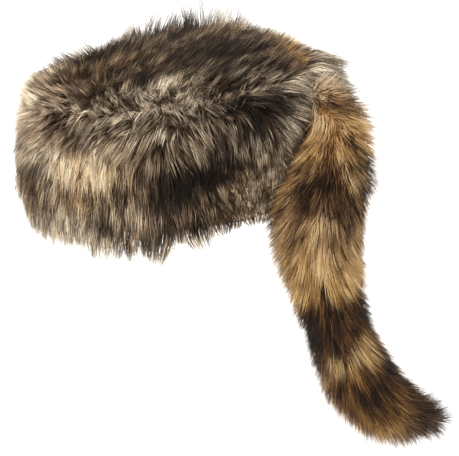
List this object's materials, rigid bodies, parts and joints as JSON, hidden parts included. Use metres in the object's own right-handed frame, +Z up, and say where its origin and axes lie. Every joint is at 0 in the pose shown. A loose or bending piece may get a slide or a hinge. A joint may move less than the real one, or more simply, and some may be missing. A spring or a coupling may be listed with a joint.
{
  "type": "coonskin cap",
  "caption": "Round cap of long pile fur with a deep side band, a low domed top panel and a ringed fur tail hanging at the back.",
  "frame": {"origin": "the middle of the head opening, in the plane of the hem, where a head holds the cap", "axes": "+Z up out of the top of the cap, -Y the front of the cap, +Y the back where the tail hangs, +X the wearer's left"},
  "size_m": [0.2416, 0.3144, 0.3013],
  "materials": {
    "backing": "knitted ground of the pile fabric, matt",
    "band_fur": "long fur, taupe with cream and brown-black patches",
    "crown_fur": "long fur, dark brown with light streaks",
    "tail_fur": "long fur, golden tan with dark brown rings and a black tip"
  },
  "bodies": {
    "root": {"band_backing": "backing", "crown_backing": "backing", "band_pile": "band_fur", "crown_pile": "crown_fur", "tail": "tail_fur"}
  },
  "joints": []
}
